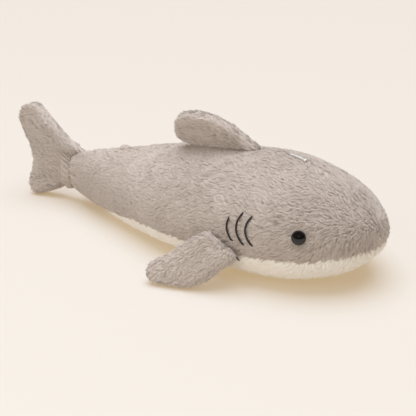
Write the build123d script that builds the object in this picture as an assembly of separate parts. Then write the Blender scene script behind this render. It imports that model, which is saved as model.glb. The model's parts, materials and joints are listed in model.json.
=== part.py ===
from build123d import *
from math import copysign, cos, pi, sin
import os

# A plush shark lying on its belly. Millimetres, nose towards +X, its left side towards +Y, +Z up.
# The origin is the centre of the flat of the belly that rests on the table.

# Driving dimensions
cloth = 2.0  # backing cloth with its short pile, as one thickness
root_trim = 0.2  # cut off a fin's root, so that the root is straight
root_corner = 5.5  # rounding of a fin outline where its root ends
rim_radius = 4.4  # rounding of a fin's rims
thread = 1.7  # thickness of the embroidered lines

# Body stations from the tail seam to the nose: x, top, half width, height of the widest point, bottom
body_stations = [
    (-147, 42, 9, 27, 12),
    (-128, 50.5, 16, 27, 7),
    (-100, 57.5, 25, 27, 2),
    (-65, 66.5, 37, 27, -2),
    (-25, 75.5, 50, 28, -2),
    (15, 81.5, 58, 28, -2),
    (50, 84, 61, 29, -2),
    (80, 82.5, 58.5, 31, -1.5),
    (105, 77, 51, 33, 2),
    (123, 70, 41.5, 35, 8.5),
    (135.5, 61, 30, 37, 16),
    (143.5, 51.5, 18, 38, 24),
    (147.5, 43.5, 7, 38, 32),
]
back_power = 1.95  # roundness of a section above its widest point, where 2 is an ellipse
belly_power = 2.6  # below it, where the body is squarer
section_points = 20

# Height of the seam between the grey back and the pale belly: x, z
belly_seam = [
    (-160, 0),
    (-118, 5),
    (-70, 13),
    (-35, 19.5),
    (10, 21),
    (60, 25),
    (105, 28),
    (130, 32),
    (160, 38),
]
cutter_reach = 100  # how far a cutting solid reaches past the body

# Tail fin, in the vertical plane y = 0: x, z round the outline from the top of its root
tail_outline = [
    (-149, 43),
    (-155, 55),
    (-168, 68),
    (-182, 77.5),
    (-194, 80.5),
    (-204, 77),
    (-208, 66),
    (-200.5, 50),
    (-191.5, 33),
    (-190.5, 22),
    (-192.5, 13),
    (-191, 5.5),
    (-183, 1.4),
    (-172, 4.5),
    (-161, 10),
    (-149, 14),
]
tail_thickness = 16
tail_root_x = -149
tail_axis_depth = 8  # from the tail's root edge to the upright line it swings about

# Dorsal fin: height above its root line, distance along that line from the front
dorsal_outline = [
    (0, 0),
    (9, -5),
    (19, -14),
    (25, -29),
    (28.5, -44),
    (27, -56),
    (20, -67),
    (11, -68),
    (4.5, -60),
    (2, -50),
    (0, -42),
]
dorsal_thickness = 13
dorsal_front = (41, 0, 84)  # the back under the front end of the root line
dorsal_rear = (-1, 0, 79)  # and under its rear end
dorsal_lean = 25  # degrees from upright towards the shark's right
dorsal_gap = 2.4  # from the back to the root edge
dorsal_axis_depth = 6.5  # from the root edge to the line it leans about

# Pectoral fins: distance out from the root line, distance along it towards the nose
pectoral_outline = [
    (0, 17),
    (9, 15),
    (20.5, 8),
    (31, 0),
    (40, -11),
    (46.5, -20),
    (46.5, -29),
    (39, -34.5),
    (30, -32),
    (19, -26),
    (8, -18.5),
    (0, -12),
]
pectoral_thickness = 10
pectoral_root = (49, 66.3, 29.5)  # middle of the left fin's root edge
pectoral_along = (0.889, 0.04, -0.457)  # along the root towards the nose
pectoral_face = (0.218, 0.841, 0.494)  # out of the face that shows
pectoral_axis_depth = 5  # from the root edge to the line it flaps about

# Eyes, each a plastic dome on a shank that a washer holds inside
eye_place = (104, 45.5)  # x and z where the shank passes the cloth
eye_radius = 5.2
eye_rise = 5.0  # height of the dome
eye_sink = 1.6  # how deep the back of the dome is pulled into the cloth
shank_radius = 1.8
shank_length = 12
washer_radius = 7
washer_thickness = 1.6
washer_gap = 2.6  # from the back of the dome to the washer

# Gill lines: x and z of each line's top, middle and bottom
gill_lines = {
    "rear": [(52, 50), (51.3, 42.5), (57, 35)],
    "middle": [(61.5, 54.5), (58.8, 44), (66.5, 34)],
    "front": [(69, 53.5), (66, 44), (73, 34.5)],
}
# Dark thread over the root of each pectoral fin: x and z of its three points
root_line = [(36, 37), (50, 36), (63, 28)]

# Small things along the top seam
fastener_from_x = 70
fastener_to_x = 82.5
fastener_width = 3.4
fastener_thickness = 1.2
fastener_corner = 1.5
fastener_sink = 0.3  # how far its ends lie in the cloth
nub_x = -86
nub_length = 8
nub_width = 5
nub_rise = 3

# Gathered band round the body where the tail fin is sewn on
band_width = 4
band_rise = 1.6

sides = {"left": 1, "right": -1}


def section_face(x, top, half, middle, bottom, inset=0.0):
    """A body section, round above its widest point and squarer below it."""
    points = []
    for i in range(section_points):
        across = cos(2 * pi * i / section_points)
        up = sin(2 * pi * i / section_points)
        power = back_power if up >= 0 else belly_power
        height = top - middle if up >= 0 else middle - bottom
        y = (half - inset) * copysign(abs(across) ** (2 / power), across)
        z = middle + (height - inset) * copysign(abs(up) ** (2 / power), up)
        points.append((x, y, z))
    return make_face(Spline(*points, periodic=True))


def body_outer():
    """The whole body in one smooth skin, cut flat where it rests."""
    body = loft([section_face(*station) for station in body_stations])
    return split(body, bisect_by=Plane.XY, keep=Keep.TOP)


def body_inner():
    """The space inside the cloth."""
    x, *rest = body_stations[0]
    stations = [(x + cloth, *rest)] + body_stations[1:-1]
    body = loft([section_face(*station, inset=cloth) for station in stations])
    return split(body, bisect_by=Plane.XY.offset(cloth), keep=Keep.TOP)


def below_belly_seam():
    """Everything under the seam between the back and the belly."""
    seam = Spline(*[(x, 0, z) for x, z in belly_seam])
    first, last = belly_seam[0], belly_seam[-1]
    edge = Polyline(
        (last[0], 0, last[1]),
        (last[0], 0, -cutter_reach),
        (first[0], 0, -cutter_reach),
        (first[0], 0, first[1]),
    )
    return extrude(make_face(seam + edge), cutter_reach, dir=(0, 1, 0), both=True)


def on_body(body, x, z, side):
    """The point on the body's side at this x and z, and the way out of the cloth there."""
    hits = body.find_intersection_points(Axis((x, 0, z), (0, side, 0)))
    point, way = max(hits, key=lambda hit: hit[0].Y * side)
    if way.Y * side < 0:
        way = -way
    return point, way


def line_on_body(body, places, side):
    """An embroidered line through three places, lying half in the cloth."""
    points = [on_body(body, x, z, side)[0] for x, z in places]
    path = ThreePointArc(*points)
    profile = Plane(origin=path @ 0, z_dir=path % 0) * Circle(thread / 2)
    return sweep(profile, path=path)


def eye(body, side):
    """A dome with a flat back on its shank, and the plane of that back."""
    point, way = on_body(body, *eye_place, side)
    back = Plane(origin=point - way * eye_sink, z_dir=way)
    ball_radius = (eye_radius**2 + eye_rise**2) / (2 * eye_rise)
    ball = Pos(0, 0, eye_rise - ball_radius) * Sphere(ball_radius)
    dome = split(ball, bisect_by=Plane.XY, keep=Keep.TOP)
    shank = Pos(0, 0, -shank_length / 2) * Cylinder(shank_radius, shank_length)
    return back * (dome + shank), back


def eye_washer(back):
    """The star washer pushed onto the shank from inside, as a plain ring."""
    ring = Cylinder(washer_radius, washer_thickness) - Cylinder(shank_radius, washer_thickness)
    return back * Pos(0, 0, -washer_gap - washer_thickness / 2) * ring


def fin_shape(outline, inset=0.0):
    """A fin's flat shape from its outline, which runs clockwise, with rounded root ends."""
    edge = Spline(*outline)
    steps = 2 * len(outline)
    points = []
    for i in range(steps + 1):
        inwards = edge.tangent_at(i / steps).rotate(Axis.Z, -90)
        points.append(edge.position_at(i / steps) + inwards * inset)
    shape = make_face(Spline(*points) + Line(points[-1], points[0]))
    shape = split(shape, bisect_by=Plane.YZ.offset(root_trim + inset), keep=Keep.TOP)
    return fillet(shape.vertices().sort_by(Axis.X)[:2], root_corner - inset)


def pillow(shape, thickness, rim):
    """A flat shape made solid both ways, with rounded rims."""
    solid = extrude(shape, thickness / 2, both=True)
    return fillet(solid.faces().filter_by(Axis.Z).edges(), rim)


def fin_pieces(outline, plane, thickness):
    """A fin as two sewn panels round its stuffing. Its root lies along the plane's Y axis."""
    outer = pillow(fin_shape(outline), thickness, rim_radius)
    inner = pillow(fin_shape(outline, cloth), thickness - 2 * cloth, rim_radius - cloth)
    skin = outer - inner
    over = split(skin, bisect_by=Plane.XY, keep=Keep.TOP)
    under = split(skin, bisect_by=Plane.XY, keep=Keep.BOTTOM)
    return plane * over, plane * under, plane * inner


def tail_plane():
    """Outwards from the tail's root is backwards, and along the root is up."""
    return Plane(origin=(tail_root_x, 0, 0), x_dir=(-1, 0, 0), z_dir=(0, 1, 0))


def dorsal_plane():
    """Outwards from the root is up, leaning to the right, and along the root is towards the nose."""
    along = (Vector(dorsal_front) - Vector(dorsal_rear)).normalized()
    upright = along.cross(Vector(0, 1, 0))
    out = upright.rotate(Axis.X, dorsal_lean)
    out = (out - along * out.dot(along)).normalized()
    return Plane(origin=Vector(dorsal_front) + out * dorsal_gap, x_dir=out, z_dir=out.cross(along))


def pectoral_plane():
    """The left fin's plane, with the face that shows on its lower side."""
    along = Vector(pectoral_along).normalized()
    face = Vector(pectoral_face)
    face = (face - along * face.dot(along)).normalized()
    out = face.cross(along)
    return Plane(origin=pectoral_root, x_dir=out, z_dir=face * -1)


def gathered_band(body):
    """The gathered turn of cloth round the body's end, where the tail is sewn on."""
    x = body_stations[0][0]
    slab = Pos(x + band_width / 2, 0, 0) * Box(band_width, 2 * cutter_reach, 2 * cutter_reach)
    x, top, half, middle, bottom = body_stations[0]
    profile = section_face(x, top, half, middle, bottom, inset=-band_rise)
    ring = extrude(profile, band_width, dir=(1, 0, 0))
    return ring - (body & slab)


def fastener(body):
    """The clear plastic strip that the hang tag was held by, lying on the top seam of the head."""
    ends = [top_of(body, x) for x in (fastener_from_x, fastener_to_x)]
    middle = (ends[0] + ends[1]) * 0.5
    along = (ends[1] - ends[0]).normalized()
    plane = Plane(origin=middle, x_dir=along, z_dir=along.cross(Vector(0, 1, 0)))
    strip = Box((ends[1] - ends[0]).length, fastener_width, fastener_thickness)
    strip = fillet(strip.edges().filter_by(Axis.Z), fastener_corner)
    return plane * Pos(0, 0, fastener_thickness / 2 - fastener_sink) * strip


def seam_nub(body):
    """The small pinch of cloth where the seam along the back was closed."""
    top = top_of(body, nub_x)
    bump = scale(Sphere(1), by=(nub_length / 2, nub_width / 2, nub_rise))
    return Pos(*top) * bump


def top_of(body, x):
    """The highest point of the back at this x."""
    hits = body.find_intersection_points(Axis((x, 0, 0), (0, 0, 1)))
    return max((point for point, way in hits), key=lambda point: point.Z)


def make_parts():
    """Every sub-part, as node name: solid."""
    parts = {}
    body = body_outer()
    stuffing = body_inner()
    skin = body - stuffing
    below = below_belly_seam()
    belly = skin & below
    back = skin - below
    trim = {}
    for side, sign in sides.items():
        trim[f"eye_{side}"], plane = eye(body, sign)
        trim[f"eye_washer_{side}"] = eye_washer(plane)
        for place, points in gill_lines.items():
            trim[f"gill_stitch_{side}_{place}"] = line_on_body(body, points, sign)
        trim[f"fin_root_thread_{side}"] = line_on_body(body, root_line, sign)
    trim["tail_gather_band"] = gathered_band(body)
    trim["tag_fastener"] = fastener(body)
    trim["back_seam_nub"] = seam_nub(body)
    for piece in trim.values():
        belly = belly - piece
        back = back - piece
        stuffing = stuffing - piece
    parts["belly_panel"] = belly
    parts["back_panel_left"] = split(back, bisect_by=Plane.XZ, keep=Keep.BOTTOM)
    parts["back_panel_right"] = split(back, bisect_by=Plane.XZ, keep=Keep.TOP)
    parts["body_stuffing"] = stuffing
    parts.update(trim)

    outline = [(tail_root_x - x, z) for x, z in tail_outline]
    left, right, core = fin_pieces(outline, tail_plane(), tail_thickness)
    parts["tail_panel_left"] = left
    parts["tail_panel_right"] = right
    parts["tail_stuffing"] = core

    left, right, core = fin_pieces(dorsal_outline, dorsal_plane(), dorsal_thickness)
    parts["dorsal_panel_left"] = left
    parts["dorsal_panel_right"] = right
    parts["dorsal_stuffing"] = core

    under, over, core = fin_pieces(pectoral_outline, pectoral_plane(), pectoral_thickness)
    for side, sign in sides.items():
        for name, piece in (("over_panel", over), ("under_panel", under), ("stuffing", core)):
            parts[f"pectoral_{side}_{name}"] = piece if sign > 0 else mirror(piece, about=Plane.XZ)
    return parts


os.makedirs("parts", exist_ok=True)
for name, piece in make_parts().items():
    export_step(piece, f"parts/{name}.step")
    print(name, round(piece.volume))
for name, plane, depth in (
    ("tail", tail_plane(), tail_axis_depth),
    ("dorsal", dorsal_plane(), dorsal_axis_depth),
    ("pectoral_left", pectoral_plane(), pectoral_axis_depth),
):
    print("hinge", name, "through", plane.origin + plane.x_dir * depth, "along", plane.y_dir)
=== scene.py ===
import json
import math

import bmesh
import bpy
import numpy as np
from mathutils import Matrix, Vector
from mathutils.bvhtree import BVHTree
from mathutils.kdtree import KDTree


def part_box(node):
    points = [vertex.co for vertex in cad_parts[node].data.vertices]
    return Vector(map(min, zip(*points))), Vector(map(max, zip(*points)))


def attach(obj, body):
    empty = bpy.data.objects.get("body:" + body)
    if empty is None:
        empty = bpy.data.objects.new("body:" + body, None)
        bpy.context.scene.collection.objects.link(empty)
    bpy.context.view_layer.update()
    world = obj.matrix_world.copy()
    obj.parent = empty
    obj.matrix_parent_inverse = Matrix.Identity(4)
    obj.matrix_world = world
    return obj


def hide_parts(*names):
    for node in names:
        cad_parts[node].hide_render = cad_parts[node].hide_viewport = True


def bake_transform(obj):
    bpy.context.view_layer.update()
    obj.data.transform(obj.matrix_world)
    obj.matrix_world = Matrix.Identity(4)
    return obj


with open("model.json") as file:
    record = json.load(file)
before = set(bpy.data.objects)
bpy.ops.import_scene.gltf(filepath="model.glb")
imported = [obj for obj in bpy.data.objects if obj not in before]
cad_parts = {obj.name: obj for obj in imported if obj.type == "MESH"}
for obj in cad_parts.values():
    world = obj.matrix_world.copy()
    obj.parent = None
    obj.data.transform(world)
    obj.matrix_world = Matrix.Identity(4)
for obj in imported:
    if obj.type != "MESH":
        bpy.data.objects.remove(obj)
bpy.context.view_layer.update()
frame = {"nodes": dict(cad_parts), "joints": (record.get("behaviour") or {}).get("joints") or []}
nodes = frame["nodes"]
hinges = {j["name"]: j for j in frame["joints"]}
mm = 0.001
sides = {"left": 1, "right": -1}  # the side's sign along y
print("frame loaded:", len(nodes), "nodes")


view = {
    "azimuth": 34,  # degrees round from the -y side
    "elevation": 22,
    "distance": 0.70,
    "lens": 76.9,
    "aim": (0, 0, 0.038),
    "shift": (-0.0096, -0.0337),
}


def addCamera(v):
    data = bpy.data.cameras.new("camera")
    camera = bpy.data.objects.new("camera", data)
    bpy.context.collection.objects.link(camera)
    a, e = math.radians(v["azimuth"]), math.radians(v["elevation"])
    back = Vector((math.sin(a) * math.cos(e), -math.cos(a) * math.cos(e), math.sin(e)))
    camera.location = Vector(v["aim"]) + back * v["distance"]
    camera.rotation_euler = (-back).to_track_quat("-Z", "Y").to_euler()
    data.lens = v["lens"]
    data.sensor_width = 36
    data.shift_x, data.shift_y = v["shift"]
    data.clip_start, data.clip_end = 0.05, 40
    bpy.context.scene.camera = camera


studio = {
    "world": (0.42, 0.36, 0.295),  # from all round
    "sun": (0.86, 0.91, 1.0),
    "sunStrength": 3.0,
    "sunAngle": 62,  # degrees across, so that its shadow has no edge
    "sunFrom": (-0.10, 0.10, 1.0),
    "softbox": 0.7,  # watts
    "softboxSize": 0.36,
    "softboxAt": (0.45, -0.85, 1.05),
    "fill": 2.7,  # a wide light from the near side, which the eyes don't show
    "fillSize": 0.9,
    "fillAt": (-0.35, -1.05, 0.50),
    "floor": (0.46, 0.49, 0.51),
    "floorGlow": (0.325, 0.225, 0.12),  # warm light through the tabletop, which fills the shadows
    "floorSize": 30,
}


def addArea(name, watts, size, place, glossy=True):
    data = bpy.data.lights.new(name, "AREA")
    data.energy, data.size = watts, size
    light = bpy.data.objects.new(name, data)
    light.location = place
    light.rotation_euler = Vector(place).to_track_quat("Z", "Y").to_euler()
    light.visible_glossy = glossy
    bpy.context.collection.objects.link(light)


def addStudio(s):
    world = bpy.data.worlds.new("world")
    bpy.context.scene.world = world
    world.use_nodes = True
    world.node_tree.nodes["Background"].inputs[0].default_value = (*s["world"], 1)
    world.cycles_visibility.glossy = False

    sun = bpy.data.lights.new("sun", "SUN")
    sun.energy, sun.color, sun.angle = s["sunStrength"], s["sun"], math.radians(s["sunAngle"])
    sunObject = bpy.data.objects.new("sun", sun)
    sunObject.rotation_euler = Vector(s["sunFrom"]).to_track_quat("Z", "Y").to_euler()
    sunObject.visible_glossy = False
    bpy.context.collection.objects.link(sunObject)

    addArea("softbox", s["softbox"], s["softboxSize"], s["softboxAt"])
    addArea("fill", s["fill"], s["fillSize"], s["fillAt"], glossy=False)

    h = s["floorSize"] / 2
    floorMesh = bpy.data.meshes.new("floor")
    floorMesh.from_pydata([(-h, -h, 0), (h, -h, 0), (h, h, 0), (-h, h, 0)], [], [(0, 1, 2, 3)])
    floor = bpy.data.objects.new("floor", floorMesh)
    bpy.context.collection.objects.link(floor)
    paint = bpy.data.materials.new("floorPaint")
    paint.use_nodes = True
    surface = paint.node_tree.nodes["Principled BSDF"]
    surface.inputs["Base Color"].default_value = (*s["floor"], 1)
    surface.inputs["Roughness"].default_value = 0.9
    surface.inputs["Specular IOR Level"].default_value = 0.1
    surface.inputs["Emission Color"].default_value = (*s["floorGlow"], 1)
    surface.inputs["Emission Strength"].default_value = 1
    floor.data.materials.append(paint)
    bpy.context.scene.view_settings.view_transform = "Standard"


addCamera(view)
addStudio(studio)


def newGroup(name, inputs, outputs):
    group = bpy.data.node_groups.new(name, "ShaderNodeTree")
    for socket, kind, value in inputs:
        made = group.interface.new_socket(socket, in_out="INPUT", socket_type=kind)
        made.default_value = value
    for socket, kind in outputs:
        group.interface.new_socket(socket, in_out="OUTPUT", socket_type=kind)
    return group, group.nodes.new("NodeGroupInput"), group.nodes.new("NodeGroupOutput")


def noiseNode(tree, coordinates, scale, detail=3.0, roughness=0.55):
    noise = tree.nodes.new("ShaderNodeTexNoise")
    noise.inputs["Detail"].default_value = detail
    noise.inputs["Roughness"].default_value = roughness
    tree.links.new(coordinates, noise.inputs["Vector"])
    if isinstance(scale, (int, float)):
        noise.inputs["Scale"].default_value = scale
    else:
        tree.links.new(scale, noise.inputs["Scale"])
    return noise.outputs["Fac"]


def mathNode(tree, kind, a, b, clamp=False):
    node = tree.nodes.new("ShaderNodeMath")
    node.operation, node.use_clamp = kind, clamp
    for socket, value in zip(node.inputs, (a, b)):
        if isinstance(value, (int, float)):
            socket.default_value = value
        else:
            tree.links.new(value, socket)
    return node.outputs[0]


def vectorNode(tree, kind, a, b=None):
    node = tree.nodes.new("ShaderNodeVectorMath")
    node.operation = kind
    tree.links.new(a, node.inputs[0])
    if b is not None:
        tree.links.new(b, node.inputs["Scale" if kind == "SCALE" else 1])
    return node.outputs[0]


def mixNode(tree, factor, a, b):
    node = tree.nodes.new("ShaderNodeMix")
    node.data_type = "RGBA"
    for socket, value in ((node.inputs[0], factor), (node.inputs[6], a), (node.inputs[7], b)):
        if isinstance(value, (int, float, tuple)):
            socket.default_value = value
        else:
            tree.links.new(value, socket)
    return node.outputs[2]


def pileToneGroup():
    # colour from the tone: deep where the tone is low, which is painted shade at the roots of the pile and
    # between its locks, pale at the tips, and mottled at two sizes
    group, inp, out = newGroup(
        "pileTone",
        [("Pale", "NodeSocketColor", (1, 1, 1, 1)), ("Mid", "NodeSocketColor", (1, 1, 1, 1)),
         ("Deep", "NodeSocketColor", (0, 0, 0, 1)), ("Tone", "NodeSocketFloat", 0.5),
         ("Mottle", "NodeSocketFloat", 0.3)],
        [("Color", "NodeSocketColor"), ("Shade", "NodeSocketFloat")])
    where = group.nodes.new("ShaderNodeTexCoord").outputs["Object"]
    broad = noiseNode(group, where, 38, 2)
    fine = noiseNode(group, where, 420, 3)
    both = mathNode(group, "SUBTRACT", mathNode(group, "ADD", broad, fine), 1.0)
    shift = mathNode(group, "MULTIPLY", both, inp.outputs["Mottle"])
    shade = mathNode(group, "ADD", inp.outputs["Tone"], shift, True)
    lower = mathNode(group, "MULTIPLY", shade, 2.0, True)
    low = mixNode(group, lower, inp.outputs["Deep"], inp.outputs["Mid"])
    upper = mathNode(group, "SUBTRACT", mathNode(group, "MULTIPLY", shade, 2.0), 1.0, True)
    group.links.new(mixNode(group, upper, low, inp.outputs["Pale"]), out.inputs["Color"])
    group.links.new(shade, out.inputs["Shade"])
    return group


def knitBackGroup():
    # the knitted cloth that the pile stands on
    group, inp, out = newGroup(
        "knitBack", [("Loops", "NodeSocketFloat", 900.0)], [("Height", "NodeSocketFloat")])
    where = group.nodes.new("ShaderNodeTexCoord").outputs["Object"]
    cells = group.nodes.new("ShaderNodeTexVoronoi")
    group.links.new(where, cells.inputs["Vector"])
    group.links.new(inp.outputs["Loops"], cells.inputs["Scale"])
    uneven = noiseNode(group, where, 160, 3)
    group.links.new(mathNode(group, "ADD", cells.outputs["Distance"], uneven), out.inputs["Height"])
    return group


def grainGroup():
    # fine moulding grain and handling marks
    group, inp, out = newGroup(
        "mouldGrain",
        [("Size", "NodeSocketFloat", 1200.0), ("Least", "NodeSocketFloat", 0.1),
         ("Most", "NodeSocketFloat", 0.3)],
        [("Roughness", "NodeSocketFloat"), ("Height", "NodeSocketFloat")])
    where = group.nodes.new("ShaderNodeTexCoord").outputs["Object"]
    fine = noiseNode(group, where, inp.outputs["Size"], 4, 0.7)
    broad = noiseNode(group, where, 180, 2)
    span = mathNode(group, "SUBTRACT", inp.outputs["Most"], inp.outputs["Least"])
    rough = mathNode(group, "ADD", mathNode(group, "MULTIPLY", broad, span), inp.outputs["Least"])
    group.links.new(rough, out.inputs["Roughness"])
    group.links.new(fine, out.inputs["Height"])
    return group


def fibreGroup():
    # long crossing fibres, for thread and loose filling
    group, inp, out = newGroup(
        "crossedFibre",
        [("Light", "NodeSocketColor", (1, 1, 1, 1)), ("Dark", "NodeSocketColor", (0, 0, 0, 1)),
         ("Size", "NodeSocketFloat", 300.0)],
        [("Color", "NodeSocketColor"), ("Height", "NodeSocketFloat")])
    where = group.nodes.new("ShaderNodeTexCoord").outputs["Object"]
    wave = group.nodes.new("ShaderNodeTexWave")
    wave.inputs["Distortion"].default_value = 9
    wave.inputs["Detail"].default_value = 3
    group.links.new(where, wave.inputs["Vector"])
    group.links.new(inp.outputs["Size"], wave.inputs["Scale"])
    fine = noiseNode(group, where, inp.outputs["Size"], 4, 0.7)
    height = mathNode(group, "MULTIPLY", mathNode(group, "ADD", wave.outputs["Fac"], fine), 0.5)
    group.links.new(mixNode(group, height, inp.outputs["Dark"], inp.outputs["Light"]), out.inputs["Color"])
    group.links.new(height, out.inputs["Height"])
    return group


pileTone = pileToneGroup()
knitBack = knitBackGroup()
mouldGrain = grainGroup()
crossedFibre = fibreGroup()


def newMaterial(name, roughness=0.9, **sockets):
    material = bpy.data.materials.new(name)
    material.use_nodes = True
    surface = material.node_tree.nodes["Principled BSDF"]
    surface.inputs["Roughness"].default_value = roughness
    for socket, value in sockets.items():
        surface.inputs[socket.replace("_", " ")].default_value = value
    return material, material.node_tree, surface


def placeGroup(tree, group, **values):
    node = tree.nodes.new("ShaderNodeGroup")
    node.node_tree = group
    for socket, value in values.items():
        node.inputs[socket].default_value = (*value, 1) if isinstance(value, tuple) else value
    return node


def addBump(tree, surface, height, strength, depth):
    bump = tree.nodes.new("ShaderNodeBump")
    bump.inputs["Strength"].default_value = strength
    bump.inputs["Distance"].default_value = depth
    tree.links.new(height, bump.inputs["Height"])
    tree.links.new(bump.outputs["Normal"], surface.inputs["Normal"])


# Deep is the colour of the lowest tones, which the pile uses for painted shade at its roots and between its
# locks
plush = {
    "grey": {"Pale": (0.69, 0.61, 0.55), "Mid": (0.53, 0.46, 0.407), "Deep": (0.29, 0.24, 0.205)},
    "cream": {"Pale": (1.0, 0.95, 0.865), "Mid": (0.97, 0.905, 0.80), "Deep": (0.80, 0.72, 0.61)},
}


def pileMaterial(name, colours):
    material, tree, surface = newMaterial(
        name, 0.85, Sheen_Weight=0.2, Sheen_Roughness=0.45, Specular_IOR_Level=0.15, Emission_Strength=1.0)
    tone = placeGroup(tree, pileTone, Mottle=0.42, **colours)
    # the tone of each tuft, which carries its painted shade and painted light
    along = tree.nodes.new("ShaderNodeAttribute")
    along.attribute_name = "tone"
    tree.links.new(along.outputs["Fac"], tone.inputs["Tone"])
    tree.links.new(tone.outputs["Color"], surface.inputs["Base Color"])
    # the underside of a tuft is shaded like its upper side, and it glows with painted light at 0.45 of the
    # pile's colour, in place of light coming through it
    geometry = tree.nodes.new("ShaderNodeNewGeometry")
    under = geometry.outputs["Backfacing"]
    turned = mathNode(tree, "SUBTRACT", 1.0, mathNode(tree, "MULTIPLY", under, 2.0))
    tree.links.new(vectorNode(tree, "SCALE", geometry.outputs["Normal"], turned), surface.inputs["Normal"])
    # painted light: emission in the pile's colour on the undersides only
    paintedGlow = vectorNode(tree, "SCALE", tone.outputs["Color"], mathNode(tree, "MULTIPLY", under, 0.45))
    tree.links.new(paintedGlow, surface.inputs["Emission Color"])
    return material


def backingMaterial(name, colours):
    material, tree, surface = newMaterial(name, 0.95, Sheen_Weight=0.2, Specular_IOR_Level=0.1)
    tone = placeGroup(tree, pileTone, Mottle=0.35, Tone=0.5, **colours)
    knit = placeGroup(tree, knitBack)
    tree.links.new(tone.outputs["Color"], surface.inputs["Base Color"])
    addBump(tree, surface, knit.outputs["Height"], 0.5, 0.0006)
    return material


def mouldedMaterial(name, light, dark, size, least, most, bump, depth, grain=1200.0, **sockets):
    # plastic with the grain of its mould, which also breaks up the gloss
    material, tree, surface = newMaterial(name, **sockets)
    marks = placeGroup(tree, mouldGrain, Least=least, Most=most, Size=grain)
    colour = placeGroup(tree, crossedFibre, Light=light, Dark=dark, Size=size)
    tree.links.new(colour.outputs["Color"], surface.inputs["Base Color"])
    tree.links.new(marks.outputs["Roughness"], surface.inputs["Roughness"])
    addBump(tree, surface, marks.outputs["Height"], bump, depth)
    return material


def threadMaterial():
    material, tree, surface = newMaterial("darkThread", 0.7, Sheen_Weight=0.1, Specular_IOR_Level=0.3)
    fibre = placeGroup(
        tree, crossedFibre, Light=(0.052, 0.046, 0.044), Dark=(0.014, 0.012, 0.012), Size=700.0)
    tree.links.new(fibre.outputs["Color"], surface.inputs["Base Color"])
    addBump(tree, surface, fibre.outputs["Height"], 0.5, 0.0002)
    return material


def fillingMaterial():
    material, tree, surface = newMaterial("fibreFilling", 0.9, Sheen_Weight=0.4)
    fibre = placeGroup(tree, crossedFibre, Light=(0.95, 0.95, 0.94), Dark=(0.70, 0.70, 0.69), Size=240.0)
    tree.links.new(fibre.outputs["Color"], surface.inputs["Base Color"])
    addBump(tree, surface, fibre.outputs["Height"], 0.9, 0.002)
    return material


finish = {
    "greyPile": pileMaterial("greyPile", plush["grey"]),
    "creamPile": pileMaterial("creamPile", plush["cream"]),
    "greyBacking": backingMaterial("greyBacking", plush["grey"]),
    "creamBacking": backingMaterial("creamBacking", plush["cream"]),
    "eye": mouldedMaterial(
        "eyePlastic", (0.012, 0.010, 0.009), (0.004, 0.0035, 0.003), 90.0, 0.13, 0.22, 0.03, 0.0001, IOR=1.5),
    "washer": mouldedMaterial(
        "washerPlastic", (0.80, 0.79, 0.76), (0.66, 0.65, 0.62), 60.0, 0.35, 0.6, 0.1, 0.0002),
    "clear": mouldedMaterial(
        "clearPlastic", (0.93, 0.93, 0.92), (0.80, 0.80, 0.79), 120.0, 0.12, 0.3, 0.1, 0.0002, 700.0,
        Transmission_Weight=0.35, IOR=1.46),
    "thread": threadMaterial(),
    "filling": fillingMaterial(),
}
print("finishes made:", len(finish))


def pointsOf(mesh):
    co = np.empty(len(mesh.vertices) * 3)
    mesh.vertices.foreach_get("co", co)
    return co.reshape(-1, 3)


def normalsOf(mesh):
    no = np.empty(len(mesh.vertices) * 3)
    mesh.vertex_normals.foreach_get("vector", no)
    return no.reshape(-1, 3)


def setPoints(mesh, points):
    mesh.vertices.foreach_set("co", np.ascontiguousarray(points, dtype=np.float32).ravel())
    mesh.update()


def unit(vectors):
    return vectors / np.maximum(np.linalg.norm(vectors, axis=-1, keepdims=True), 1e-12)


def smoothStep(x, low, high):
    t = np.clip((x - low) / (high - low), 0, 1)
    return t * t * (3 - 2 * t)


def coat(mesh, material):
    mesh.materials.clear()
    mesh.materials.append(material)


def shadeSmooth(mesh):
    for polygon in mesh.polygons:
        polygon.use_smooth = True


def addObject(name, mesh, material=None):
    made = bpy.data.objects.new(name, mesh)
    bpy.context.collection.objects.link(made)
    if material:
        coat(mesh, material)
    return made


def applied(obj):
    # the object's mesh with its modifiers in it
    bpy.context.view_layer.update()
    evaluated = obj.evaluated_get(bpy.context.evaluated_depsgraph_get())
    mesh = bpy.data.meshes.new_from_object(evaluated)
    obj.modifiers.clear()
    obj.data = mesh
    return obj


def softNoise(points, size, seed):
    # smooth noise from -1 to 1 that repeats only every 32 cells
    lattice = np.random.default_rng(seed).random((32, 32, 32)) * 2 - 1
    cell = points / size
    low = np.floor(cell).astype(int)
    f = cell - low
    f = f * f * (3 - 2 * f)
    total = 0
    for dx in (0, 1):
        for dy in (0, 1):
            for dz in (0, 1):
                weight = f[:, 0] if dx else 1 - f[:, 0]
                weight = weight * (f[:, 1] if dy else 1 - f[:, 1])
                weight = weight * (f[:, 2] if dz else 1 - f[:, 2])
                i, j, k = ((low + (dx, dy, dz)) % 32).T
                total = total + weight * lattice[i, j, k]
    return total


def closedForm(name, parts, voxel, ridge=None):
    # one closed skin round copies of CAD nodes
    bm = bmesh.new()
    for part in parts:
        bm.from_mesh(nodes[part].data)
    if ridge:
        addRidge(bm, ridge)
    mesh = bpy.data.meshes.new(name)
    bm.to_mesh(mesh)
    bm.free()
    form = addObject(name, mesh)
    remesh = form.modifiers.new("remesh", "REMESH")
    remesh.mode, remesh.voxel_size = "VOXEL", voxel
    applied(form)
    keepLargest(form.data)
    return form


def keepLargest(mesh):
    bm = bmesh.new()
    bm.from_mesh(mesh)
    left, islands = set(bm.verts), []
    while left:
        stack = [left.pop()]
        island = list(stack)
        while stack:
            for edge in stack.pop().link_edges:
                for v in edge.verts:
                    if v in left:
                        left.remove(v)
                        stack.append(v)
                        island.append(v)
        islands.append(island)
    islands.sort(key=len)
    bmesh.ops.delete(bm, geom=[v for island in islands[:-1] for v in island], context="VERTS")
    bm.to_mesh(mesh)
    bm.free()


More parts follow.
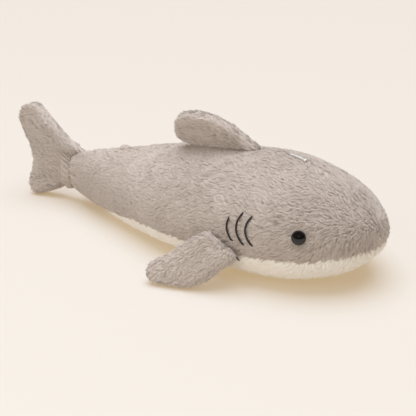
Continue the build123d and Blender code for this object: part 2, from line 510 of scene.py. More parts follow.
def puff(form, pinned, pressure, cap, frames=20):
    # cloth under pressure from inside, held along its seams
    start = pointsOf(form.data)
    group = form.vertex_groups.new(name="pin")
    for i, weight in enumerate(pinned):
        group.add([i], float(weight), "REPLACE")
    cloth = form.modifiers.new("cloth", "CLOTH")
    s = cloth.settings
    s.quality, s.mass = 6, 0.15
    s.tension_stiffness = s.compression_stiffness = 12
    s.shear_stiffness, s.bending_stiffness = 6, 0.3
    s.use_pressure, s.uniform_pressure_force = True, pressure
    s.vertex_group_mass = "pin"
    s.effector_weights.gravity = 0
    cloth.point_cache.frame_start, cloth.point_cache.frame_end = 1, frames
    for f in range(1, frames + 1):
        bpy.context.scene.frame_set(f)
    applied(form)
    form.vertex_groups.clear()
    bpy.context.scene.frame_set(1)
    move = pointsOf(form.data) - start
    far = np.linalg.norm(move, axis=1, keepdims=True)
    move *= np.minimum(1, cap / np.maximum(far, 1e-9))
    setPoints(form.data, start + move)


def subdivided(form, levels=1):
    sub = form.modifiers.new("subdivide", "SUBSURF")
    sub.levels = sub.render_levels = levels
    applied(form)
    shadeSmooth(form.data)


def cutAway(source, name, keep):
    # a copy with only the faces whose centres keep() accepts, which keeps the whole form's normals
    if "outward" not in source.data.attributes:
        outward = source.data.attributes.new("outward", "FLOAT_VECTOR", "POINT")
        outward.data.foreach_set("vector", normalsOf(source.data).astype(np.float32).ravel())
    bm = bmesh.new()
    bm.from_mesh(source.data)
    centres = np.array([f.calc_center_median() for f in bm.faces])
    kept = keep(centres)
    bmesh.ops.delete(bm, geom=[f for f, k in zip(list(bm.faces), kept) if not k], context="FACES")
    mesh = bpy.data.meshes.new(name)
    bm.to_mesh(mesh)
    bm.free()
    return addObject(name, mesh)


def clothShell(panel, material, thickness=1.1 * mm):
    # gives an open panel its own thickness, inwards
    coat(panel.data, material)
    shell = panel.modifiers.new("shell", "SOLIDIFY")
    shell.thickness, shell.offset, shell.use_even_offset = thickness, -1, False
    return applied(panel)


print("helpers ready")


body = {
    "voxel": 4 * mm,
    "inset": 2.6 * mm,  # the pile stands on the cloth and makes this up again
    "pressure": 4,
    "cap": 1.7 * mm,
    "bellySeam": [(-160, 0), (-118, 5), (-70, 13), (-35, 19.5), (10, 21), (60, 25), (105, 28),
                  (130, 32), (160, 38)],  # x, z
    "seamDepth": 1.0 * mm,
    "seamWidth": 2.2 * mm,
    "rest": 0.9 * mm,  # the lowest the cloth goes over the table
}
eyePlace = {"x": 104, "z": 45.5, "radius": 5.2}  # mm, seen from the side
gills = {  # x, z
    "rear": [(52, 50), (51.3, 42.5), (57, 35)],
    "middle": [(61.5, 54.5), (58.8, 44), (66.5, 34)],
    "front": [(69, 53.5), (66, 44), (73, 34.5)],
}
rootLine = [(34, 33.5), (47, 31.5), (63, 21.5)]  # over a pectoral fin's root
creases = [  # soft folds, down the right side from the dorsal fin, then about the tail
    {"path": [(21, -38, 69), (26, -33, 73), (31, -23, 78.5)], "depth": 2.0, "width": 3.2},
    {"path": [(52, -42, 68), (50, -31, 76), (58, -16, 82)], "depth": 1.2, "width": 4.0},
    {"path": [(-4, -47, 60), (8, -42, 67), (21, -38, 70)], "depth": 0.7, "width": 3.5},
    {"path": [(30, 42, 68), (34, 30, 76), (36, 18, 80)], "depth": 0.9, "width": 3.5},
    {"path": [(-128, -9, 46), (-138, -8, 41), (-146, -7, 39)], "depth": 1.2, "width": 2.5},
    {"path": [(-124, -14, 33), (-135, -11, 30), (-146, -8, 27)], "depth": 0.9, "width": 2.5},
    {"path": [(-128, -13, 18), (-137, -10, 18), (-146, -7, 19)], "depth": 0.9, "width": 2.5},
    {"path": [(-128, 13, 38), (-137, 10, 34), (-146, 8, 32)], "depth": 1.0, "width": 2.5},
    {"path": [(-130, 12, 20), (-138, 10, 21), (-146, 7, 22)], "depth": 0.9, "width": 2.5},
]


def seamHeight(x):
    xs, zs = zip(*body["bellySeam"])
    return np.interp(x, np.array(xs) * mm, np.array(zs) * mm)


def topGap(points):
    # distance to the seam along the back
    return np.where((points[:, 2] > 0.038) & (points[:, 0] < 0.128), np.abs(points[:, 1]), 1.0)


def seamGap(points):
    # distance to the nearest seam, roughly
    return np.minimum(topGap(points), np.abs(points[:, 2] - seamHeight(points[:, 0])))


def pathGap(points, path):
    # distance to a path of points
    path = np.array(path)
    best = np.full(len(points), 1.0)
    for a, b in zip(path[:-1], path[1:]):
        d = b - a
        t = np.clip((points - a) @ d / (d @ d), 0, 1)
        best = np.minimum(best, np.linalg.norm(points - a - t[:, None] * d, axis=1))
    return best


def smoothPath(places, count):
    # a curve through three or more places
    places = np.array(places, float)
    knots = np.linspace(0, 1, len(places))
    at = np.linspace(0, 1, count)
    degree = len(places) - 1
    if degree > 3:
        return np.stack([np.interp(at, knots, row) for row in places.T], 1)
    return np.stack([np.polyval(np.polyfit(knots, row, degree), at) for row in places.T], 1)


def makeBodyForm():
    parts = ["back_panel_left", "back_panel_right", "belly_panel", "body_stuffing"]
    form = closedForm("bodyForm", parts, body["voxel"])
    p, n = pointsOf(form.data), normalsOf(form.data)
    held = np.exp(-(topGap(p) / (9 * mm)) ** 2)  # drawn in less where it can't swell again
    p = p - n * (body["inset"] - 1.3 * mm * held)[:, None]
    p[:, 2] = np.maximum(p[:, 2], body["rest"])
    setPoints(form.data, p)
    pinned = np.exp(-(seamGap(p) / (6 * mm)) ** 2)
    pinned = np.maximum(pinned, smoothStep(-p[:, 0], 0.132, 0.142))
    pinned = np.maximum(pinned, smoothStep(-p[:, 2], -0.004, -0.002))
    puff(form, pinned, body["pressure"], body["cap"])
    subdivided(form)

    p, n = pointsOf(form.data), normalsOf(form.data)
    groove = np.exp(-(seamGap(p) / body["seamWidth"]) ** 2) * body["seamDepth"]
    for crease in creases:
        gap = pathGap(p, smoothPath(np.array(crease["path"]) * mm, 12))
        w = crease["width"] * mm
        groove += crease["depth"] * mm * (np.exp(-(gap / w) ** 2) - 0.4 * np.exp(-((gap - 2 * w) / w) ** 2))
    for sign in sides.values():
        away = np.hypot(p[:, 0] - eyePlace["x"] * mm, p[:, 2] - eyePlace["z"] * mm)
        groove += np.where(p[:, 1] * sign > 0, 0.3 * mm * np.exp(-(away / (7 * mm)) ** 2), 0)
    around = np.arctan2(p[:, 2] - 0.027, p[:, 1])
    pucker = np.sin(9 * around + 1.3 * np.sin(2 * around)) + 0.6 * np.sin(17 * around)
    groove += pucker * 0.75 * mm * smoothStep(-p[:, 0], 0.118, 0.140)
    groove += softNoise(p, 26 * mm, 3) * 0.5 * mm + softNoise(p, 11 * mm, 4) * 0.22 * mm
    # a little fuller behind the head
    groove -= 1.4 * mm * np.exp(-((p[:, 0] - 0.062) / (24 * mm)) ** 2 - (topGap(p) / (24 * mm)) ** 2)
    p = p - n * groove[:, None]
    upper = p[:, 2] > np.minimum(0.038, seamHeight(p[:, 0]))
    p[:, 1] = np.where(upper & (np.abs(p[:, 1]) < 0.9 * mm), 0, p[:, 1])
    onSeam = np.abs(p[:, 2] - seamHeight(p[:, 0])) < 0.9 * mm
    p[:, 2] = np.where(onSeam, seamHeight(p[:, 0]), p[:, 2])
    p[:, 2] = np.maximum(p[:, 2], body["rest"])
    setPoints(form.data, p)
    return form


def treeOf(mesh):
    mesh.calc_loop_triangles()
    return BVHTree.FromPolygons([v.co for v in mesh.vertices], [t.vertices for t in mesh.loop_triangles])


bodyForm = makeBodyForm()
bodyTree = treeOf(bodyForm.data)
print("body sewn and filled:", len(bodyForm.data.vertices), "points")


def onSkin(x, z, side, lift=0.0):
    # a point on the body's side at x, z in mm, and the way out of the cloth there
    hit, normal, _, _ = bodyTree.ray_cast(Vector((x * mm, side * 0.2, z * mm)), Vector((0, -side, 0)))
    return hit + normal * lift * mm, normal


def inBody(points, depth=0.0):
    # whether each point is deeper than depth under the body's skin
    inside = np.zeros(len(points), bool)
    for i, q in enumerate(points):
        hit, normal, _, gap = bodyTree.find_nearest(Vector(q), 0.03)
        inside[i] = hit is not None and (Vector(q) - hit).dot(normal) < -depth
    return inside


pile = {
    "density": 2.7e6,  # tufts to a square metre
    "length": 4.2 * mm,
    "width": 0.64 * mm,
    "lift": math.radians(28),
    "swirl": 0.45,
    "ruffle": 0.8,
    "lock": 4,  # tufts that cling together
    "cling": 0.5,
    "round": 0.8,  # how much a lock is shaded as one round strand
    # rough also sets how strong the painted shade at the roots and between the locks is
    "rough": 0.7,  # 1 for pile in deep locks, 0 for smooth pile
    # pale is added to the tone: on the grey body and the fins it carries painted light and shade, on the
    # cream it is the cream's own paler tone
    "pale": lambda root: 0,  # added to the tone
}


def locksOf(root, rng, size):
    # the tuft at the middle of each tuft's lock
    middles = np.flatnonzero(rng.random(len(root)) < 1 / size)
    tree = KDTree(len(middles))
    for i, k in enumerate(middles):
        tree.insert(root[k], i)
    tree.balance()
    return middles[[tree.find(q)[1] for q in root]]


def scatterRoots(mesh, density, rng):
    # places spread evenly over the cloth, and the way out of it at each
    mesh.calc_loop_triangles()
    tri = np.empty(len(mesh.loop_triangles) * 3, int)
    mesh.loop_triangles.foreach_get("vertices", tri)
    tri = tri.reshape(-1, 3)
    p, n = pointsOf(mesh), normalsOf(mesh)
    if "outward" in mesh.attributes:
        whole = np.empty(n.size)
        mesh.attributes["outward"].data.foreach_get("vector", whole)
        n = whole.reshape(-1, 3)
    a, b, c = p[tri[:, 0]], p[tri[:, 1]], p[tri[:, 2]]
    area = np.linalg.norm(np.cross(b - a, c - a), axis=1) / 2
    total = np.cumsum(area)
    count = int(total[-1] * density)
    pick = np.searchsorted(total, (np.arange(count) + rng.random(count)) * total[-1] / count)
    pick = np.minimum(pick, len(tri) - 1)
    u, v = rng.random((2, count))
    u, v = np.where(u + v > 1, 1 - u, u), np.where(u + v > 1, 1 - v, v)
    u, v = u[:, None], v[:, None]
    root = a[pick] * (1 - u - v) + b[pick] * u + c[pick] * v
    up = unit(n[tri[pick, 0]] * (1 - u - v) + n[tri[pick, 1]] * u + n[tri[pick, 2]] * v)
    return root, up


def leafMesh(name, leaf, facing, tone):
    # seven points to a leaf: three at the foot, three in the middle and the tip
    count = len(leaf)
    first = (np.arange(count) * 7)[:, None]
    quads = (first[:, :, None] + np.array([[0, 1, 4, 3], [1, 2, 5, 4]])[None]).reshape(-1, 4)
    tips = (first[:, :, None] + np.array([[3, 4, 6], [4, 5, 6]])[None]).reshape(-1, 3)
    made = bpy.data.meshes.new(name)
    made.vertices.add(count * 7)
    made.vertices.foreach_set("co", leaf.astype(np.float32).ravel())
    corners = np.concatenate([quads.ravel(), tips.ravel()])
    made.loops.add(len(corners))
    made.loops.foreach_set("vertex_index", corners.astype(np.int32))
    starts = np.concatenate([np.arange(len(quads)) * 4, len(quads) * 4 + np.arange(len(tips)) * 3])
    made.polygons.add(len(starts))
    made.polygons.foreach_set("loop_start", starts.astype(np.int32))
    made.update(calc_edges=True)
    made.normals_split_custom_set_from_vertices(unit(facing).reshape(-1, 3).tolist())
    # the tone carries the painted shade and painted light that the pile material turns into colour
    made.attributes.new("tone", "FLOAT", "POINT").data.foreach_set("value", tone.astype(np.float32).ravel())
    return made


def growPile(name, skin, lie, share, material, seed, **changes):
    # short leaves of clumped fibre, fine at the tip, that lie along the cloth
    look = {**pile, **changes}
    rng = np.random.default_rng(seed)
    root, up = scatterRoots(skin.data, look["density"], rng)
    length = share(root, up) * look["length"] * (0.8 + 0.4 * rng.random(len(root)))
    kept = length > 0.5 * mm
    root, up, length = root[kept], up[kept], length[kept]
    count = len(root)

    # which way each tuft lies
    way = lie(root, up)
    way = unit(way - up * np.sum(way * up, 1, keepdims=True))
    turn = softNoise(root, 16 * mm, seed + 1) * look["swirl"]
    turn += softNoise(root, 3.2 * mm, seed + 2) * look["ruffle"]
    turn += softNoise(root, 5 * mm, seed + 5) * 1.6 * smoothStep(root[:, 0], 0.132, 0.148)
    turn = (turn + rng.normal(0, 0.16, count))[:, None]
    side = np.cross(up, way)
    way, side = way * np.cos(turn) + side * np.sin(turn), side * np.cos(turn) - way * np.sin(turn)
    lock = locksOf(root, rng, look["lock"])
    clump = np.clip(rng.normal(0, 0.5, count), -1, 1)[lock]
    rise = look["lift"] * (1 + 0.5 * clump + 0.25 * softNoise(root, 8 * mm, seed + 4))
    rise = np.clip(rise + rng.normal(0, 0.06, count), 0.08, 1.1)[:, None]
    length = length[:, None]
    width = look["width"] * (0.75 + 0.5 * rng.random(count))[:, None] * np.minimum(1, length / (2 * mm))

    # its shape, drawn to the middle of its lock
    steep = way * np.cos(rise) + up * np.sin(rise)
    shallow = way * np.cos(rise * 0.35) + up * np.sin(rise * 0.35)
    over = up * np.cos(rise) - way * np.sin(rise)
    foot = root - up * 0.4 * mm
    middle = foot + steep * length * 0.5
    tip = middle + shallow * length * 0.55
    middle = middle + (middle[lock] - middle) * look["cling"] * 0.45
    tip = tip + (tip[lock] - tip) * look["cling"]
    leaf = np.stack([
        foot + side * width * 0.45, foot + over * width * 0.2, foot - side * width * 0.45,
        middle + side * width * 0.5 - over * width * 0.12, middle + over * width * 0.22,
        middle - side * width * 0.5 - over * width * 0.12, tip], 1)
    leaf[:, :, 2] = np.maximum(leaf[:, :, 2], (0.15 + 0.3 * rng.random(count))[:, None] * mm)

    # its shading: a lock is round by its normals, and its tone holds painted shade, dark at the roots, on the
    # sides of each leaf and in the gaps between locks, and pale at the tips
    apart = root - root[lock]
    apart = apart - way * np.sum(apart * way, 1, keepdims=True)
    gap = np.linalg.norm(apart, axis=1)
    rough = look["rough"](root) if callable(look["rough"]) else look["rough"]
    rough = np.broadcast_to(rough, (count,))
    bulge = apart / mm * look["round"] * (0.4 + 0.6 * rough)[:, None]
    facing = np.stack([
        up + side * 0.3, up, up - side * 0.3, up + side * 0.8 + way * 0.1, up + way * 0.12,
        up - side * 0.8 + way * 0.1, up * 0.9 + way * 0.35], 1) + bulge[:, None, :]
    # painted shade: darker towards the edge of a lock, in the gaps between locks, over a random tone per lock
    # and tuft
    depth = 0.10 * clump + rng.normal(0, 0.04, count) - 0.16 * smoothStep(gap, 0.6 * mm, 1.4 * mm)
    # painted shade: darker at the foot and on the sides of the leaf, paler along its ridge and at the tip
    depth = np.array([0.10, 0.16, 0.10, 0.44, 0.60, 0.44, 0.90])[None, :] - 0.62 + depth[:, None]
    tone = 0.62 + depth * (0.42 + 0.58 * rough)[:, None]
    tone = tone + np.broadcast_to(look["pale"](root), (count,))[:, None]
    print("  pile", name, count, "tufts")
    return addObject(name, leafMesh(name, leaf, facing, tone), material)


def tailwards(root, up):
    # the nap runs to the tail, and combs down over the lower head
    way = np.zeros_like(root)
    way[:, 0] = -1
    head = smoothStep(root[:, 0], 0.050, 0.110) * smoothStep(-root[:, 2], -0.058, -0.034)
    way[:, 2] = -0.12 - 0.95 * head - 0.9 * smoothStep(root[:, 0], 0.140, 0.150)
    return way


threadPaths = {}
for sideName, sign in sides.items():
    for gill, places in {**gills, "root": rootLine}.items():
        threadPaths[sideName, gill] = [onSkin(x, z, sign, 1.5) for x, z in smoothPath(places, 30)]
eyeCentres = {sideName: onSkin(eyePlace["x"], eyePlace["z"], sign)[0] for sideName, sign in sides.items()}


def bodyShare(root, up):
    # how long the pile stands: cut short at the seams, round the eyes and along the threads
    share = 1 + 0.22 * smoothStep(root[:, 0], 0.07, 0.12) * smoothStep(-root[:, 2], -0.055, -0.035)
    share *= 0.5 + 0.5 * smoothStep(topGap(root), 0.2 * mm, 2.5 * mm)
    for centre in eyeCentres.values():
        away = np.linalg.norm(root - np.array(centre), axis=1)
        share *= np.where(away < 6.1 * mm, 0, 1 - 0.55 * smoothStep(-away, -10 * mm, -6 * mm))
    for line in threadPaths.values():
        gap = pathGap(root, [q for q, _ in line][::3])
        share *= np.where(gap < 1.75 * mm, 0.22, 1 - 0.4 * smoothStep(-gap, -4.2 * mm, -1.7 * mm))
    share *= 1 - smoothStep(-root[:, 0], 0.1455, 0.1465)
    return share


def bodyRough(root):
    # in deeper locks on the lower head than along the back, with stronger painted shade between them and at
    # their roots
    head = smoothStep(root[:, 0], -0.03, 0.09) * smoothStep(-root[:, 2], -0.072, -0.050)
    return 0.25 + 0.65 * head * (1 - 0.6 * smoothStep(root[:, 0], 0.126, 0.142))


def bodyPaintedLight(root):
    # painted light and shade: the pile is painted paler along the back and at the snout, where more light
    # falls, and darker on the side of the head
    x, z = root[:, 0] / mm, root[:, 2] / mm
    side = np.exp(-((x - 110) / 24) ** 2 - ((z - 60) / 13) ** 2)
    back = smoothStep(-x, -10, 60) * smoothStep(z, 34, 50)
    return 0.13 * back + 0.12 * smoothStep(x, 134, 146) - 0.17 * side


def seamSide(points):
    return points[:, 2] > seamHeight(points[:, 0])


bodyPile = {
    "grey": {"rough": bodyRough, "pale": bodyPaintedLight},
    "cream": {"rough": 0.15, "density": 1.85e6, "width": 0.8 * mm, "pale": lambda root: 0.15},
}
bodyPanels = {
    "back_panel_left": ("backCover.left", lambda c: seamSide(c) & (c[:, 1] > 0), "grey"),
    "back_panel_right": ("backCover.right", lambda c: seamSide(c) & (c[:, 1] <= 0), "grey"),
    "belly_panel": ("bellyCover", lambda c: ~seamSide(c), "cream"),
}
for seed, (node, (name, keep, colour)) in enumerate(bodyPanels.items()):
    panel = cutAway(bodyForm, name, keep)
    furs = []
    for half, front in (("front", True), ("rear", False)):
        bed = cutAway(panel, "bed", lambda c: (c[:, 0] > 0.008) == front)
        label = name + "_pile." + half
        coloured = finish[colour + "Pile"]
        draw = 20 * seed + 7 * front
        furs.append(growPile(label, bed, tailwards, bodyShare, coloured, draw, **bodyPile[colour]))
        bpy.data.objects.remove(bed)
    clothShell(panel, finish[colour + "Backing"])
    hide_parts(node)
    for piece in (panel, *furs):
        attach(piece, "torso")
print("body panels covered")


# edge sets how much paler the pile is painted along a fin's edge seam, as painted rim light; pale raises the
# whole fin's tone
pectoral = {  # the same for both
    "voxel": 2.2 * mm, "inset": 1.4 * mm, "cap": 2.6 * mm,
    "rootAt": 5 * mm, "reach": 7 * mm, "bend": 12 * mm, "seamShift": 1.6 * mm,
    "groove": 0.9 * mm, "rough": 0.6, "edge": 0.05, "pale": 0.12,
}
fins = {
    "tail": {
        "body": "tail_fin", "hinge": "tail_swing",
        "parts": ["tail_panel_left", "tail_panel_right", "tail_stuffing"],
        "voxel": 2.4 * mm, "inset": 2.6 * mm, "cap": 2.2 * mm,
        "rootAt": 8 * mm, "reach": 5 * mm, "bend": 16 * mm, "seamShift": 0,
        "groove": 0.3 * mm, "rough": 1.0, "edge": 0.2, "pale": 0},
    "dorsal": {
        "body": "dorsal_fin", "hinge": "dorsal_lean",
        "parts": ["dorsal_panel_left", "dorsal_panel_right", "dorsal_stuffing"],
        "voxel": 2.2 * mm, "inset": 1.7 * mm, "cap": 3.2 * mm,
        "rootAt": 6.5 * mm, "reach": 6 * mm, "bend": 12 * mm, "seamShift": 0,
        "groove": 0.2 * mm, "rough": 1.4, "edge": 0.2, "pale": 0.12},
    "pectoralLeft": {
        "body": "pectoral_fin_left", "hinge": "pectoral_left_flap",
        "parts": ["pectoral_left_over_panel", "pectoral_left_under_panel", "pectoral_left_stuffing"],
        **pectoral},
    "pectoralRight": {
        "body": "pectoral_fin_right", "hinge": "pectoral_right_flap",
        "parts": ["pectoral_right_over_panel", "pectoral_right_under_panel", "pectoral_right_stuffing"],
        **pectoral},
}
# how the front edge of a fin runs on into the back: x, y, z, radius
ridges = {
    "tail": [(-130, 0, 45, 4.0), (-141, 0, 45, 6.0), (-152, 0, 50, 6.6), (-162, 0, 58, 6.0)],
    "dorsal": [(51, 0, 81.5, 3.0), (44, -0.8, 84.5, 4.6), (37, -3.2, 89.0, 5.6)],
}


def addRidge(bm, ridge):
    # a hull round each pair of balls
    turns = np.arange(60)
    height = 1 - 2 * (turns + 0.5) / len(turns)
    turn = turns * math.pi * (3 - 5 ** 0.5)
    ring = np.sqrt(1 - height ** 2)
    ball = np.stack([ring * np.cos(turn), ring * np.sin(turn), height], 1)
    for ends in zip(ridge[:-1], ridge[1:]):
        verts = [bm.verts.new(tuple((ball[i] * r + (x, y, z)) * mm)) for x, y, z, r in ends for i in turns]
        bmesh.ops.convex_hull(bm, input=verts)


def finAxes(fin):
    # the fin's own frame: out from its root, its face, and along its root line
    hinge = hinges[fin["hinge"]]
    along = np.array(hinge["axis"])
    co = pointsOf(nodes[fin["parts"][2]].data)
    at = np.array(hinge["pos_m"])
    if fin["hinge"] == "tail_swing":
        return at, np.array((-1.0, 0, 0)), np.array((0, 1.0, 0)), along
    middle = (co.max(0) + co.min(0)) / 2
    out = middle - at
    out = out - along * (out @ along)
    out /= np.linalg.norm(out)
    spread = (co - co.mean(0)) - np.outer((co - co.mean(0)) @ along, along)
    face = np.linalg.svd(spread[::5], full_matrices=False)[2]
    face = min(face[:2], key=lambda f: abs(f @ out))
    face = face - along * (face @ along)
    face /= np.linalg.norm(face)
    out = np.cross(face, along)
    out *= np.sign(out @ (middle - at))
    return at, out, face, along


def makeFin(name, fin):
    at, out, face, along = finAxes(fin)
    form = closedForm(name + "Form", fin["parts"], fin["voxel"], ridges.get(name))
    p, n = pointsOf(form.data), normalsOf(form.data)
    stuffing = pointsOf(nodes[fin["parts"][2]].data)
    middle = (stuffing.max(0) + stuffing.min(0)) / 2 if name != "tail" else np.zeros(3)
    p = p - n * fin["inset"]
    offset = (p - middle) @ face
    beyond = (p - at) @ out - fin["rootAt"]  # how far out of the root line
    rim = np.exp(-(offset / (2.6 * mm)) ** 2) * np.sqrt(np.maximum(0, 1 - np.abs(n @ face)))
    pinned = np.maximum(rim, 1 - smoothStep(beyond, 1 * mm, 8 * mm))
    setPoints(form.data, p)
    puff(form, np.clip(pinned, 0, 1), 4, fin["cap"], 16)
    subdivided(form)

    p, n = pointsOf(form.data), normalsOf(form.data)
    offset = (p - middle) @ face - (fin["seamShift"] if face[2] > 0 else -fin["seamShift"])
    edge = np.exp(-(offset / (1.5 * mm)) ** 2) * (1 - np.abs(n @ face) ** 4)
    p = p - n * (edge * fin["groove"] + softNoise(p, 9 * mm, 41) * 0.45 * mm)[:, None]
    p = settled(name, fin, p, at, out)
    axes = (at, out, face, along, middle)
    offset = offsetOf(p, name, fin, axes)
    p = p - face * np.where(np.abs(offset) < 0.5 * mm, offset, 0)[:, None]
    p[:, 2] = np.maximum(p[:, 2], body["rest"])
    setPoints(form.data, p)
    return form, axes


def settled(name, fin, p, at, out):
    # how a fin sits: drawn up to the body at its root, and hanging a little
    beyond = (p - at) @ out - fin["rootAt"]
    p = p - out * (fin["reach"] * (1 - smoothStep(beyond, -1 * mm, 13 * mm)))[:, None]
    if name == "tail":
        p[:, 1] *= 1 - 0.36 * (1 - smoothStep(-p[:, 0], 0.150, 0.166)) * smoothStep(-p[:, 2], -0.047, -0.042)
        p[:, 1] += tailLean(p)
        upper = smoothStep(p[:, 2], 0.045, 0.062)
        p[:, 0] = -0.206 + (p[:, 0] + 0.206) * (1 - 0.07 * upper)
        p[:, 2] -= 1.6 * mm * smoothStep(-p[:, 2], -0.022, -0.002)
    if name.startswith("pectoral"):
        p[:, 2] -= hang(p, fin, at, out)
    return p


def hang(points, fin, at, out):
    # how far a pectoral fin sags
    beyond = (points - at) @ out - fin["rootAt"]
    return 4.0 * mm * np.exp(-((beyond - 20 * mm) / (18 * mm)) ** 2)


def tailLean(points):
    # the upper lobe leans to the left and the lower one to the right
    slope = np.where(points[:, 2] > 0.035, 0.11, 0.24)
    return slope * (points[:, 2] - 0.035) * smoothStep(-points[:, 0], 0.155, 0.185)


def offsetOf(points, name, fin, axes):
    # distance from the seam between a fin's two panels
    at, out, face, along, middle = axes
    if name == "tail":
        return points[:, 1] - tailLean(points)
    points = points.copy()
    if name.startswith("pectoral"):
        points[:, 2] += hang(points, fin, at, out)
    over = 1 if face[2] > 0 else -1
    return (points - middle) @ face - over * fin["seamShift"]


def bendFin(piece, fin, at, out):
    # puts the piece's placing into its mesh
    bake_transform(piece)


def coverFin(name, fin, seed):
    form, axes = makeFin(name, fin)
    at, out, face, along, middle = axes
    rootPoint = at + out * fin["rootAt"]
    panelMiddle = pointsOf(nodes[fin["parts"][0]].data)
    firstSide = np.sign(((panelMiddle.max(0) + panelMiddle.min(0)) / 2 - middle) @ face)

    def outwards(root, up):
        spread = unit(root - (rootPoint - out * 20 * mm))
        return spread + out * 0.6

    def finShare(root, up):
        share = 1 - 0.3 * np.exp(-(offsetOf(root, name, fin, axes) / (0.9 * mm)) ** 2) * fin["groove"] / mm
        return np.where(inBody(root, -0.5 * mm), 0, share)

    def finPaintedLight(root):
        # painted rim light: paler along the seam at the fin's edge, and the whole fin's tone raised by its
        # pale value
        return fin["edge"] * np.exp(-(offsetOf(root, name, fin, axes) / (2.4 * mm)) ** 2) + fin["pale"]

    for k, node in enumerate(fin["parts"][:2]):
        label = "finCover." + node.replace("_panel", "").replace("_", ".")
        panel = cutAway(
            form, label, lambda c: (offsetOf(c, name, fin, axes) * firstSide > 0) == (k == 0))
        fur = growPile(
            label + "_pile", panel, outwards, finShare, finish["greyPile"], seed + 10 * k,
            rough=fin["rough"], pale=finPaintedLight)
        clothShell(panel, finish["greyBacking"], 0.9 * mm)
        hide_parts(node)
        for piece in (panel, fur):
            bendFin(piece, fin, at, out)
    bpy.data.objects.remove(form)


for seed, (name, fin) in enumerate(fins.items()):
    coverFin(name, fin, 100 + 30 * seed)
print("fins covered")


stitch = {"length": 3.3, "radius": 0.62, "step": 1.75, "slant": 0.30}  # mm and radians
rootStitch = {"length": 3.6, "radius": 0.5, "step": 2.3, "slant": 0.15}


def addCapsule(verts, faces, centre, way, up, length, radius, rings=5, around=7):
    # one thread of a stitch, fullest in the middle
    side = way.cross(up).normalized()
    first = len(verts)
    for i in range(rings):
        t = i / (rings - 1)
        r = radius * math.sin(math.pi * (0.06 + 0.88 * t)) ** 0.5
        for j in range(around):
            a = 2 * math.pi * j / around
            outer = side * r * math.cos(a) + up * r * 0.8 * math.sin(a)
            verts.append(centre + way * (t - 0.5) * length + outer)
    for i in range(rings - 1):
        for j in range(around):
            k = (j + 1) % around
            faces.append((first + i * around + j, first + i * around + k,
                          first + (i + 1) * around + k, first + (i + 1) * around + j))
    faces.append(tuple(first + j for j in range(around))[::-1])
    faces.append(tuple(first + (rings - 1) * around + j for j in range(around)))


def sewLine(name, line, node, s):
    # slanted stitches that overlap like a rope
    verts, faces = [], []
    path = [q for q, _ in line]
    ups = [u for _, u in line]
    lengths = np.cumsum([0] + [(b - a).length for a, b in zip(path[:-1], path[1:])])
    count = max(3, int(lengths[-1] / (s["step"] * mm)))
    first, last = s["length"] * 0.4 * mm, lengths[-1] - s["length"] * 0.4 * mm
    for i in range(count + 1):
        at = first + (last - first) * i / count
        k = min(int(np.searchsorted(lengths, at, side="right")) - 1, len(path) - 2)
        t = (at - lengths[k]) / max(lengths[k + 1] - lengths[k], 1e-9)
        centre, up = path[k].lerp(path[k + 1], t), ups[k].lerp(ups[k + 1], t).normalized()
        way = (path[k + 1] - path[k]).normalized()
        side = up.cross(way).normalized()
        way = (way * math.cos(s["slant"]) + side * math.sin(s["slant"])).normalized()
        addCapsule(verts, faces, centre, way, up, s["length"] * mm, s["radius"] * mm)
    mesh = bpy.data.meshes.new(name)
    mesh.from_pydata([tuple(v) for v in verts], [], faces)
    shadeSmooth(mesh)
    made = addObject(name, mesh, finish["thread"])
    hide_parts(node)
    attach(made, "torso")


for (sideName, gill), line in threadPaths.items():
    if gill == "root":
        sewLine("finRootThread." + sideName, line, "fin_root_thread_" + sideName, rootStitch)
    else:
        label = sideName + "." + gill
        sewLine("gillStitch." + label, line, "gill_stitch_" + label.replace(".", "_"), stitch)
print("threads sewn")

for sideName in sides:
    for node, look in (("eye_" + sideName, "eye"), ("eye_washer_" + sideName, "washer")):
        coat(nodes[node].data, finish[look])
        shadeSmooth(nodes[node].data)

gather = {  # mm, at the body and at the tail
    "x": (-144.6, -156),
    "halfWidth": (8.4, 6.6),
    "top": (42.5, 49),
    "bottom": (12, 11.5),
    "pleats": 25,
    "pleatDepth": 1.1,
    "rise": 2.1,
}


def makeGather(g):
    # the pleated band of cloth where the tail is sewn on
    rings, around = 13, 270
    verts, faces = [], []
    for i in range(rings):
        t = i / (rings - 1)
        halfWidth, top, bottom = (a + (b - a) * t for a, b in (g["halfWidth"], g["top"], g["bottom"]))
        for j in range(around):
            a = 2 * math.pi * j / around
            pleat = g["pleatDepth"] * math.sin(g["pleats"] * a + 0.8 * math.sin(3 * a) + 0.5 * t)
            lift = (g["rise"] + pleat) * math.sin(math.pi * t) ** 0.6 - 1.2
            c, s = math.cos(a), math.sin(a)
            y = (halfWidth + lift) * math.copysign(abs(c) ** 0.9, c)
            z = (top + bottom) / 2 + ((top - bottom) / 2 + lift) * math.copysign(abs(s) ** 0.9, s)
            x = g["x"][0] + (g["x"][1] - g["x"][0]) * t + 0.4 * math.sin(5 * a)
            verts.append((x * mm, y * mm, z * mm))
    for i in range(rings - 1):
        for j in range(around):
            k = (j + 1) % around
            faces.append((i * around + j, (i + 1) * around + j, (i + 1) * around + k, i * around + k))
    mesh = bpy.data.meshes.new("tailGather")
    mesh.from_pydata(verts, [], faces)
    shadeSmooth(mesh)
    return addObject("tailGather", mesh, finish["greyBacking"])


gatherBand = makeGather(gather)
gatherPile = growPile(
    "tailGather_pile", gatherBand, tailwards, lambda root, up: np.full(len(root), 0.42),
    finish["greyPile"], 300, density=1.9e6, width=0.9 * mm, lift=0.5)
clothShell(gatherBand, finish["greyBacking"], 0.8 * mm)
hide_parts("tail_gather_band")

nub = {"stretch": (1.35, 1.6, 1.05), "drop": 2.2, "crease": 0.45, "creaseStep": 0.55}  # mm


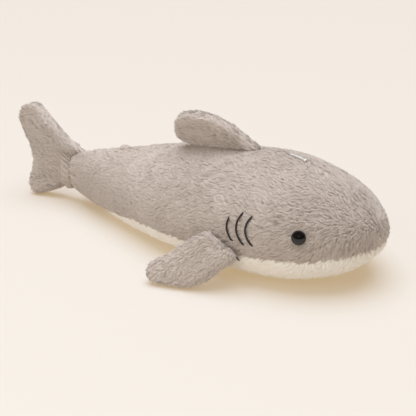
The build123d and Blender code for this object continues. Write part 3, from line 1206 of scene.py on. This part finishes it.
def makeNub(b):
    # the pulled-tight end of the closing seam
    form = closedForm("seamNub", ["back_seam_nub"], 0.9 * mm)
    low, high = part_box("back_seam_nub")
    p = pointsOf(form.data)
    middle = np.array((low + high) / 2)
    p = middle + (p - middle) * b["stretch"] - (0, 0, b["drop"] * mm)
    p[:, 2] += b["crease"] * mm * np.sin(p[:, 0] / (b["creaseStep"] * mm))
    setPoints(form.data, p)
    shadeSmooth(form.data)
    coat(form.data, finish["greyBacking"])
    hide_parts("back_seam_nub")
    return form


seamNub = makeNub(nub)
nubPile = growPile(
    "seamNub_pile", seamNub, tailwards, lambda root, up: np.full(len(root), 0.45),
    finish["greyPile"], 320, density=2.2e6, width=0.8 * mm, lift=0.45)
for piece in (gatherBand, gatherPile, seamNub, nubPile):
    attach(piece, "torso")

fastener = {"from": 70.5, "to": 83.0, "width": 3.6, "thickness": 0.8, "lift": 2.4}  # mm along the back


def makeFastener(f):
    # a clear strip with a round bar at each end, half sunk in the pile
    verts, faces = [], []
    steps = 14
    for i in range(steps + 1):
        t = i / steps
        x = f["from"] + (f["to"] - f["from"]) * t
        hit = bodyTree.ray_cast(Vector((x * mm, -1.6 * mm, 0.2)), Vector((0, 0, -1)))[0]
        bar = math.exp(-((t - 0.04) / 0.06) ** 2) + math.exp(-((t - 0.96) / 0.06) ** 2)
        half = f["width"] / 2 * (0.62 + 0.38 * bar)
        thick = f["thickness"] * (1 + 1.1 * bar)
        z = hit.z / mm + f["lift"] + 0.5 * math.sin(math.pi * t)
        twist = 0.35 * (t - 0.5)
        for y, dz in ((-half, 0), (-half * 0.6, thick / 2), (half * 0.6, thick / 2), (half, 0),
                      (half * 0.6, -thick / 2), (-half * 0.6, -thick / 2)):
            verts.append((x * mm, (-1.6 + y * math.cos(twist) - dz * math.sin(twist)) * mm,
                          (z + dz * math.cos(twist) + y * math.sin(twist)) * mm))
    for i in range(steps):
        for j in range(6):
            k = (j + 1) % 6
            faces.append((i * 6 + j, i * 6 + k, (i + 1) * 6 + k, (i + 1) * 6 + j))
    faces.append(tuple(range(6))[::-1])
    faces.append(tuple(steps * 6 + j for j in range(6)))
    mesh = bpy.data.meshes.new("tagStrip")
    mesh.from_pydata(verts, [], faces)
    made = addObject("tagStrip", mesh, finish["clear"])
    bevel = made.modifiers.new("round", "BEVEL")
    bevel.width, bevel.segments, bevel.limit_method = 0.15 * mm, 2, "NONE"
    applied(made)
    shadeSmooth(made.data)
    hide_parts("tag_fastener")
    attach(made, "torso")


makeFastener(fastener)
print("trim made")


filling = {  # voxel and inset, mm
    "body_stuffing": (6, 4),
    "tail_stuffing": (2.4, 2.4),
    "dorsal_stuffing": (2.2, 2.1),
    "pectoral_left_stuffing": (2.0, 1.8),
    "pectoral_right_stuffing": (2.0, 1.8),
}
finOf = {fin["parts"][2]: fin for fin in fins.values()}

for node, (voxel, wadInset) in filling.items():
    wad = closedForm("filling." + node.replace("_stuffing", "").replace("_", "."), [node], voxel * mm)
    p, n = pointsOf(wad.data), normalsOf(wad.data)
    p = p - n * (wadInset * mm + 0.25 * voxel * mm * softNoise(p, voxel * 2.5 * mm, 70))[:, None]
    for name, fin in fins.items():
        if node == fin["parts"][2]:
            at, out = finAxes(fin)[:2]
            p = settled(name, fin, p, at, out)
            p[:, 2] = np.maximum(p[:, 2], body["rest"] + 1.5 * mm)
    setPoints(wad.data, p)
    subdivided(wad)
    coat(wad.data, finish["filling"])
    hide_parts(node)
    if node == "body_stuffing":
        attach(wad, "torso")
    else:
        bendFin(wad, finOf[node], *finAxes(finOf[node])[:2])
print("filling in")

bpy.data.objects.remove(bodyForm)
